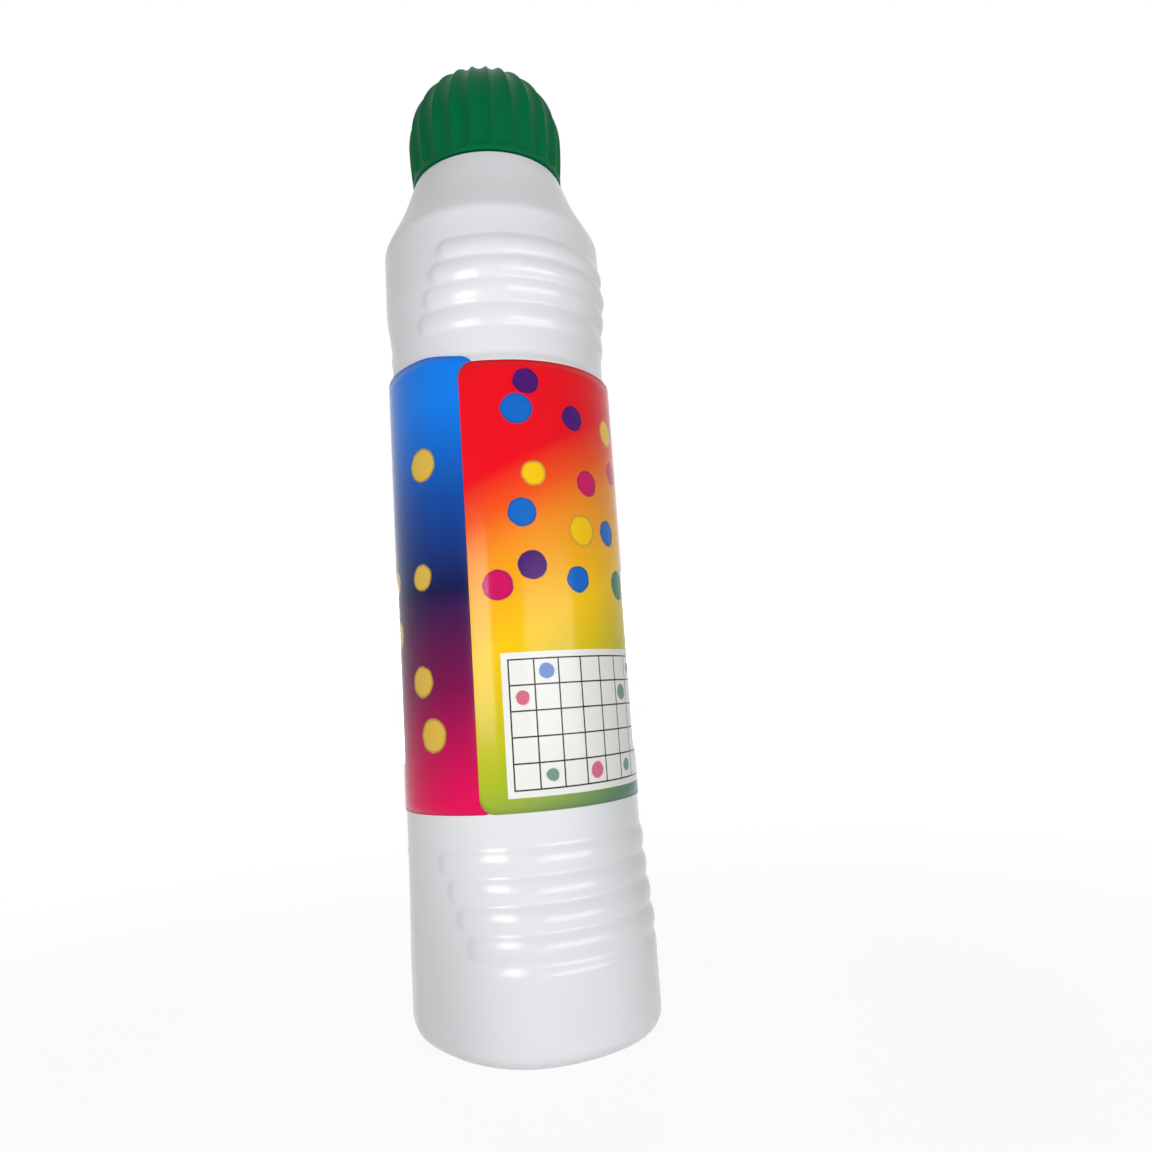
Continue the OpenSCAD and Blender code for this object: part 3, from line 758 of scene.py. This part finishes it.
def game_card(finish, sizes, flat, u, v, ragged, ground):
    """Plain pale card with a grid of thin lines and a dab in some of its squares, on the ground colour."""
    across = finish.sum("SUBTRACT", u, CARD_U)
    up = finish.sum("SUBTRACT", v, CARD_V)
    wide, tall = CARD_ACROSS * CARD_CELL, CARD_UP * CARD_CELL
    sheet, grid = (
        in_field(finish, across, up, -border, wide + border, -border, tall + border)
        for border in (CARD_BORDER, LINE_HALF)
    )
    half_cell = CARD_CELL / 2.0
    nearest = finish.sum(
        "MINIMUM", finish.sum("PINGPONG", across, half_cell), finish.sum("PINGPONG", up, half_cell)
    )
    lines = finish.sum("MULTIPLY", grid, finish.sum("LESS_THAN", nearest, LINE_HALF))
    paper = finish.mix(lines, sizes.card, sizes.card_line)
    shift = finish.node("ShaderNodeVectorMath", operation="SUBTRACT")
    finish.join(flat, shift.inputs[0])
    shift.inputs[1].default_value = (CARD_U + half_cell, CARD_V + half_cell, 0.0)
    dab, _, chance, _ = round_dabs(finish, shift.outputs[0], CARD_CELLS, CARD_SCATTER, CARD_RADIUS, ragged)
    chosen = finish.sum("GREATER_THAN", chance[1], CARD_CHANCE)
    picked = finish.sum("MULTIPLY", finish.sum("MULTIPLY", dab, grid), chosen)
    ink = finish.ramp(chance[0], [
        (0.0, sizes.dab_blue), (0.4, sizes.dab_pink), (0.7, sizes.dab_green),
    ], "CONSTANT")
    paper = finish.mix(finish.sum("MULTIPLY", picked, CARD_INK), paper, ink)
    return finish.mix(sheet, ground, paper)


def label_film(sizes, total):
    """Printed gloss film: a warm and a cool half of soft blends, round ink dabs and a plain game card."""
    finish = Finish("label_film")
    flat = finish.node("ShaderNodeUVMap", uv_map=LABEL_MAP).outputs[0]
    parts = finish.parts(flat)
    u, v = parts[0], parts[1]
    tall = (LABEL_HIGH[2] - LABEL_LOW[2]) * CM_IN_METRE
    half = 0.5 * total * CM_IN_METRE
    up = finish.sum("DIVIDE", v, tall)
    ragged = finish.sum("SUBTRACT", finish.noise(flat, RAGGED_CELLS, detail=3.0), 0.5)
    warm = warm_blend(finish, sizes, u, up, half)
    warm = warm_dabs(finish, sizes, flat, half, tall, ragged, warm)
    warm = game_card(finish, sizes, flat, u, v, ragged, warm)
    cool = gold_dabs(finish, sizes, flat, half, tall, ragged, cool_blend(finish, sizes, up))
    shade = finish.mix(finish.sum("GREATER_THAN", u, half), warm, cool)
    finish.set(Base_Color=shade, Specular_IOR_Level=0.14)
    finish.gloss(finish.noise(flat, WEAR_CELLS, detail=4.0), low=0.13, high=0.2)
    finish.bump(finish.noise(flat, RIPPLE_CELLS), strength=0.12, distance=0.02 * MM)
    return finish


class DAUBER_OT_bottle(bpy.types.Operator):
    """Build the bottle's skin with its oval foot, grip rolls, shoulder and threaded neck"""

    bl_idname = "dauber.bottle"
    bl_label = "Bottle"

    def execute(self, context):
        sizes = context.scene.dauber_bottle
        finish = moulded_plastic(
            "bottle_plastic", sizes.plastic, low=0.2, high=0.265, cloud=40.0, peel=900.0
        )
        finish.set(Specular_IOR_Level=0.36)
        mesh = ring_skin("bottle_skin", bottle_points(sizes))
        put_piece("bottle_skin", mesh, finish, "bottle", "bottle")
        return {"FINISHED"}


class DAUBER_OT_label(bpy.types.Operator):
    """Wrap the printed label round the bottle"""

    bl_idname = "dauber.label"
    bl_label = "Label"

    def execute(self, context):
        sizes = context.scene.dauber_label
        points, flat, total = label_points(sizes)
        mesh = open_skin("label_wrap", points)
        put_map(mesh, LABEL_MAP, flat)
        piece = put_piece("label_wrap", mesh, label_film(sizes, total), "bottle", "label")
        film = piece.modifiers.new("film", "SOLIDIFY")
        film.thickness = FILM_SHARE * sizes.film
        film.offset = -1.0
        return {"FINISHED"}


def cap_points(sizes, bottle):
    """Rings of the cap from the inside of its dome, down the ledge and the threaded bore, and up outside.

    The inside is a chain of lines and arcs, each with its number of rings last. The skirt swells by a
    quarter sine, the dome is (cos^(2/p), sin^(2/q)) of a quarter turn, and a flute is hollow by 1 - t^2,
    where t is 1 at its ridges.
    """
    foot_z, top_z = CAP_LOW[2], CAP_HIGH[2]
    girth_z = foot_z + sizes.girth_height
    hollow_r = CAP_HIGH[0] - sizes.dome_wall
    hollow_z = top_z - CAP_HIGH[0]
    ledge_low = SEAL_HIGH[2] + LEDGE_ROOM
    ledge_high = ledge_low + sizes.ledge_thick
    meet = math.asin((ledge_high - hollow_z) / hollow_r)
    edge = CAP_EDGE
    bore = sizes.bore + BORE_ROOM
    inside = [
        arc((0.0, hollow_z), hollow_r, 90.0, math.degrees(meet), 14),
        line((hollow_r * math.cos(meet), ledge_high), (sizes.ledge, ledge_high), 3),
        line((sizes.ledge, ledge_high), (sizes.ledge, ledge_low), 3),
        line((sizes.ledge, ledge_low), (bore, ledge_low), 3),
        line((bore, ledge_low), (bore, foot_z + edge), 50),
        arc((bore + edge, foot_z + edge), edge, 180.0, 270.0, 4),
        line((bore + edge, foot_z), (sizes.edge - edge, foot_z), 3),
        arc((sizes.edge - edge, foot_z + edge), edge, -90.0, 0.0, 5),
    ]
    t = np.linspace(0.0, 1.0, 40, endpoint=False)
    skirt = np.stack([
        sizes.edge + (sizes.girth - sizes.edge) * np.sin(t * math.pi / 2.0),
        foot_z + edge + (girth_z - foot_z - edge) * t,
    ], axis=-1)
    a = np.linspace(0.0, math.pi / 2.0, 56)
    dome = np.stack([
        sizes.girth * np.cos(a).clip(0.0) ** (2.0 / DOME_ACROSS),
        girth_z + (top_z - girth_z) * np.sin(a) ** (2.0 / DOME_UP),
    ], axis=-1)
    dome[-1, 0] = 0.0
    profile = np.concatenate(inside + [skirt, dome])
    outer = (np.arange(len(profile)) >= sum(len(part) for part in inside))[:, None]
    radius, height = profile[:, :1], profile[:, 1:]
    turn = round_turn(sizes.flutes * FLUTE_COLUMNS)
    across = np.abs(2.0 * ((turn * sizes.flutes / FULL_TURN) % 1.0) - 1.0)
    turn = turn + sizes.flute_turn
    start = foot_z + sizes.rim + FLUTE_BOW * across ** 2
    flute = sizes.flute_depth * (1.0 - across ** 2)
    flute = flute * smooth(start, start + FLUTE_RUN, height) * smooth(0.0, FLUTE_FADE, radius)
    on_bore = (np.abs(radius - bore) < ON_RADIUS) & (height > foot_z)
    rise = thread_rise(turn, height, CAP_START, foot_z - THREAD_DROP + THREAD_START, bottle.thread_pitch)
    relief = np.where(outer, -flute, 0.0) - np.where(on_bore, bottle.thread_depth * rise, 0.0)
    return turned(radius + relief, height, turn)


class DAUBER_OT_cap(bpy.types.Operator):
    """Build the fluted cap with its ledge and its inner thread"""

    bl_idname = "dauber.cap"
    bl_label = "Cap"

    def execute(self, context):
        sizes = context.scene.dauber_cap
        finish = moulded_plastic(
            "cap_plastic", sizes.plastic, low=0.34, high=0.46, cloud=60.0, peel=1400.0
        )
        finish.set(Specular_IOR_Level=0.06)
        mesh = ring_skin("cap_dome", cap_points(sizes, context.scene.dauber_bottle))
        put_piece("cap_dome", mesh, finish, "cap", "cap_shell")
        return {"FINISHED"}


def tip_profile(radius, low, side, top, count):
    """Half outline of a domed tip: an upright side from low to side, then a quarter ellipse up to top."""
    a = np.linspace(0.0, math.pi / 2.0, count)
    dome = np.stack([radius * np.cos(a), side + (top - side) * np.sin(a)], axis=-1)
    dome[-1, 0] = 0.0
    return np.concatenate([line((radius, low), (radius, side), 8), dome])


def foam_points(sizes):
    """Rings of the foam: a flat underside with a round edge, and then the outline of the tip."""
    radius, low = FOAM_HIGH[0], FOAM_LOW[2]
    outline = np.concatenate([
        line((0.0, low), (radius - FOAM_EDGE, low), 6),
        arc((radius - FOAM_EDGE, low + FOAM_EDGE), FOAM_EDGE, -90.0, 0.0, 4),
        tip_profile(radius, low + FOAM_EDGE, low + sizes.side, FOAM_HIGH[2], 40),
    ])
    return turned(outline[:, :1], outline[:, 1:], round_turn(TIP_COLUMNS))


def cloth_points(sizes):
    """Grid of the cloth: the outline of the tip turned once round, until its last column meets its first."""
    outline = tip_profile(COVER_HIGH[0], COVER_LOW[2], FOAM_LOW[2] + sizes.side, COVER_HIGH[2], 48)
    closed = np.linspace(0.0, FULL_TURN, TIP_COLUMNS + 1)[:, None]
    return turned(outline[None, :, 0], outline[None, :, 1], closed)


def foam_cells(sizes):
    """Open foam: small pores that dent the surface, painted darker in their middles as shade in the hollows.
    """
    finish = Finish("foam")
    pores = finish.node("ShaderNodeTexVoronoi")
    finish.join(finish.place(), pores.inputs["Vector"])
    pores.inputs["Scale"].default_value = 2200.0
    depth = pores.outputs["Distance"]
    # Painted shade: the foam's colour darkens towards the middle of each pore, where its dent is deepest
    finish.set(Base_Color=finish.mix(depth, darker(sizes.foam, share=0.6), sizes.foam), Roughness=0.9)
    finish.bump(depth, strength=0.7, distance=0.2 * MM)
    return finish


def dyed_cloth(sizes):
    """Woven cloth stained by the ink: two crossed rows of threads and cloudy dye."""
    finish = Finish("dyed_cloth")
    place = finish.place()
    parts = finish.parts(place)
    step = FULL_TURN / sizes.thread
    warp = finish.sum("SINE", finish.sum("MULTIPLY", parts[0], step))
    weft = finish.sum("SINE", finish.sum("MULTIPLY", parts[1], step))
    weave = finish.sum("MULTIPLY", warp, weft)
    stain = finish.noise(place, scale=260.0, detail=4.0)
    dyed = finish.mix(stain, darker(sizes.dyed, share=0.55), sizes.dyed)
    raised = finish.between(weave, -1.0, 1.0, start=0.0, end=0.25)
    finish.set(Base_Color=finish.mix(raised, dyed, sizes.foam), Roughness=0.85, Sheen_Weight=0.25)
    finish.bump(weave, strength=0.6, distance=0.06 * MM)
    return finish


class DAUBER_OT_tip(bpy.types.Operator):
    """Build the foam tip and the cloth over it"""

    bl_idname = "dauber.tip"
    bl_label = "Foam tip and cloth"

    def execute(self, context):
        sizes = context.scene.dauber_tip
        mesh = ring_skin("foam_pad", foam_points(sizes))
        foam = put_piece("foam_pad", mesh, foam_cells(sizes), "tip", "foam_tip")
        mesh = open_skin("tip_cloth", cloth_points(sizes))
        cloth = put_piece("tip_cloth", mesh, dyed_cloth(sizes), "tip", "tip_cover")
        weld = cloth.modifiers.new("seam", "WELD")
        weld.merge_threshold = SEAM_NEAR
        wall = cloth.modifiers.new("cloth", "SOLIDIFY")
        wall.thickness = sizes.cloth
        wall.offset = -1.0
        return {"FINISHED"}


def dress(node, finish):
    """Give a CAD node's object one finish."""
    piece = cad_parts[node]
    if not piece.material_slots:
        piece.data.materials.append(finish.material)
    for slot in piece.material_slots:
        slot.material = finish.material


def spring_points(sizes):
    """Round wire along the helix (R cos a, R sin a, rising with a), its rings square to the path."""
    half = sizes.wire / 2.0
    coil = SPRING_HIGH[0] - half
    low, high = SPRING_LOW[2] + half, SPRING_HIGH[2] - half
    total = FULL_TURN * sizes.coils
    along = np.linspace(0.0, total, sizes.coils * COIL_STEPS + 1)
    along = np.concatenate([along[:1], along, along[-1:]])[:, None]
    thick = np.full(along.shape, half)
    thick[0] = 0.0
    thick[-1] = 0.0
    ring = round_turn(WIRE_SIDES)[:, :, None]
    out = np.concatenate([np.cos(along), np.sin(along), 0.0 * along], axis=-1)[:, None, :]
    middle = coil * out + np.array([0.0, 0.0, 1.0]) * (low + (high - low) * along / total)[:, None, :]
    climb = 0.0 * along + (high - low) / (total * coil)
    ahead = np.concatenate([-np.sin(along), np.cos(along), climb], axis=-1)
    ahead = ahead / np.linalg.norm(ahead, axis=-1, keepdims=True)
    across = np.cross(ahead[:, None, :], out)
    return middle + thick[:, :, None] * (np.cos(ring) * out + np.sin(ring) * across)


def spring_wire(sizes):
    """Drawn spring steel: fine streaks and an uneven gloss."""
    finish = Finish("spring_steel")
    streak = finish.noise(finish.place(), scale=700.0, detail=3.0)
    finish.set(Base_Color=finish.mix(streak, sizes.steel_dark, sizes.steel_pale), Metallic=1.0)
    finish.gloss(streak, low=0.29, high=0.4)
    finish.bump(streak, strength=0.2, distance=0.01 * MM)
    return finish


class DAUBER_OT_fitments(bpy.types.Operator):
    """Wind the return spring, and finish the other pieces inside the neck and the cap, and the ink"""

    bl_idname = "dauber.fitments"
    bl_label = "Fitments and ink"

    def execute(self, context):
        sizes = context.scene.dauber_tip
        fitment = moulded_plastic(
            "fitment_plastic", sizes.fitment, low=0.36, high=0.5, cloud=90.0, peel=1200.0
        )
        for node in ("tip_housing", "valve_stem", "tip_carrier", "clamp_ring"):
            dress(node, fitment)
        seal = moulded_plastic("seal_foam", sizes.seal, low=0.7, high=0.85, cloud=300.0, peel=2600.0)
        dress("cap_seal", seal)
        dress("ink", moulded_plastic("ink", sizes.ink, low=0.04, high=0.1, cloud=30.0, peel=60.0))
        mesh = ring_skin("spring_coil", spring_points(sizes))
        coil = put_piece("spring_coil", mesh, spring_wire(sizes), "bottle", "return_spring")
        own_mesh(coil)
        return {"FINISHED"}


def beside(side, distance, height):
    """Point at an angle from the front, a distance from the axis and a height."""
    return Vector((distance * math.sin(side), -distance * math.cos(side), height))


def camera_matrix(sizes):
    """Camera beside the bottle: it looks along +Y, turns right, tilts up and leans about its own axis."""
    turn, tilt, roll = sizes.camera_turn, sizes.camera_tilt, sizes.camera_roll
    forward = np.array([math.sin(turn) * math.cos(tilt), math.cos(turn) * math.cos(tilt), math.sin(tilt)])
    level = np.array([math.cos(turn), -math.sin(turn), 0.0])
    upright = np.cross(level, forward)
    right = math.cos(roll) * level + math.sin(roll) * upright
    up = math.cos(roll) * upright - math.sin(roll) * level
    place = beside(sizes.camera_side, sizes.camera_distance, sizes.camera_height)
    columns = np.stack([right, up, -forward, np.array(place)], axis=-1)
    return Matrix([*columns.tolist(), [0.0, 0.0, 0.0, 1.0]])


def soft_lamp(name, place, width, tall, watts):
    """Soft lamp with a level width that looks level at the bottle's axis."""
    lamp = bpy.data.lights.new(name, "AREA")
    lamp.shape = "RECTANGLE"
    lamp.size = width
    lamp.size_y = tall
    lamp.energy = watts
    shine = bpy.data.objects.new(name, lamp)
    aim = Vector((0.0, 0.0, place.z)) - place
    shine.matrix_world = Matrix.Translation(place) @ aim.to_track_quat("-Z", "Y").to_matrix().to_4x4()
    return shine


def white_to_camera(tree):
    """Share that is 1 for what the camera, a mirror or a clear piece sees, and 0 for light on the object."""
    path = tree.nodes.new("ShaderNodeLightPath")
    seen = path.outputs["Is Camera Ray"]
    for name in ("Is Glossy Ray", "Is Transmission Ray"):
        either = tree.nodes.new("ShaderNodeMath")
        either.operation = "MAXIMUM"
        tree.links.new(seen, either.inputs[0])
        tree.links.new(path.outputs[name], either.inputs[1])
        seen = either.outputs[0]
    return seen


def white_world(fill):
    """World that is plain white to the camera and an even fill for the object."""
    world = bpy.data.worlds.new("studio")
    world.use_nodes = True
    tree = world.node_tree
    sky = tree.nodes["Background"]
    sky.inputs["Color"].default_value = (1.0, 1.0, 1.0, 1.0)
    strength = tree.nodes.new("ShaderNodeMapRange")
    strength.inputs["To Min"].default_value = fill
    strength.inputs["To Max"].default_value = 1.0
    tree.links.new(white_to_camera(tree), strength.inputs["Value"])
    tree.links.new(strength.outputs[0], sky.inputs["Strength"])
    return world


def pale_floor():
    """Pale table that keeps a faint shadow of the object."""
    finish = Finish("pale_floor")
    place = finish.place()
    specks = finish.noise(place, scale=30.0, detail=3.0)
    finish.set(Base_Color=finish.mix(specks, (FLOOR_GREY,) * 3, (FLOOR_PALE,) * 3), Roughness=0.6)
    glow = finish.node("ShaderNodeEmission")
    blend = finish.node("ShaderNodeMixShader")
    away = finish.node("ShaderNodeVectorMath", operation="LENGTH")
    finish.join(place, away.inputs[0])
    white = finish.between(away.outputs["Value"], FLOOR_NEAR, FLOOR_FAR, FLOOR_WHITE, 1.0)
    share = finish.sum("MULTIPLY", white_to_camera(finish.tree), white)
    for source, socket in zip((share, finish.shader.outputs[0], glow.outputs[0]), blend.inputs):
        finish.join(source, socket)
    finish.join(blend.outputs[0], finish.tree.nodes["Material Output"].inputs["Surface"])
    return finish


class DAUBER_OT_stage(bpy.types.Operator):
    """Set the camera, the three lamps, the even fill and the pale floor"""

    bl_idname = "dauber.stage"
    bl_label = "Stage"

    def execute(self, context):
        scene = context.scene
        sizes = scene.dauber_stage
        lens = bpy.data.cameras.new("photo_camera")
        lens.lens = sizes.lens
        lens.sensor_width = SENSOR_WIDTH
        lens.clip_start = CLIP_NEAR
        camera = bpy.data.objects.new("photo_camera", lens)
        camera.matrix_world = camera_matrix(sizes)
        place = beside(sizes.key_side, sizes.key_distance, sizes.key_height)
        key = soft_lamp("key_lamp", place, sizes.key_size, sizes.key_size, sizes.key_power)
        place = beside(sizes.wide_side, sizes.wide_distance, sizes.wide_height)
        wide = soft_lamp("wide_lamp", place, sizes.wide_size, sizes.wide_tall, sizes.wide_power)
        place = beside(sizes.back_side, sizes.wide_distance, sizes.wide_height)
        back = soft_lamp("back_lamp", place, sizes.wide_size, sizes.wide_tall, sizes.back_power)
        across = np.linspace(-sizes.floor_reach, sizes.floor_reach, FLOOR_POINTS)
        x, y = np.meshgrid(across, across, indexing="ij")
        mesh = open_skin("floor", np.stack([x, y, 0.0 * x], axis=-1))
        mesh.materials.append(pale_floor().material)
        floor = bpy.data.objects.new("floor", mesh)
        for item in (camera, key, wide, back, floor):
            scene.collection.objects.link(item)
        scene.camera = camera
        scene.world = white_world(sizes.fill)
        scene.view_settings.view_transform = "Standard"
        return {"FINISHED"}


class DAUBER_PT_panel(bpy.types.Panel):
    """Operators and sizes of the dauber"""

    bl_idname = "DAUBER_PT_panel"
    bl_label = "Dauber"
    bl_space_type = "VIEW_3D"
    bl_region_type = "UI"
    bl_category = "Dauber"

    def draw(self, context):
        for operator in OPERATORS:
            self.layout.operator(operator.bl_idname)
        for name in GROUPS:
            box = self.layout.box()
            sizes = getattr(context.scene, name)
            for key in sizes.bl_rna.properties.keys():
                if key not in ("rna_type", "name"):
                    box.prop(sizes, key)


OPERATORS = (
    DAUBER_OT_stage, DAUBER_OT_bottle, DAUBER_OT_label, DAUBER_OT_cap, DAUBER_OT_tip, DAUBER_OT_fitments,
)
GROUPS = {
    "dauber_bottle": BottleSizes,
    "dauber_label": LabelSizes,
    "dauber_cap": CapSizes,
    "dauber_tip": TipSizes,
    "dauber_stage": StageSizes,
}


def register():
    """Register the sizes, the operators and the panel."""
    for name, group in GROUPS.items():
        bpy.utils.register_class(group)
        setattr(bpy.types.Scene, name, bpy.props.PointerProperty(type=group))
    for item in (*OPERATORS, DAUBER_PT_panel):
        bpy.utils.register_class(item)


def unregister():
    """Take the panel, the operators and the sizes away again."""
    for item in (DAUBER_PT_panel, *reversed(OPERATORS)):
        bpy.utils.unregister_class(item)
    for name, group in GROUPS.items():
        delattr(bpy.types.Scene, name)
        bpy.utils.unregister_class(group)


def main():
    """Build every piece in order."""
    register()
    bpy.ops.dauber.stage()
    bpy.ops.dauber.bottle()
    bpy.ops.dauber.label()
    bpy.ops.dauber.cap()
    bpy.ops.dauber.tip()
    bpy.ops.dauber.fitments()


if __name__ == "__main__":
    main()
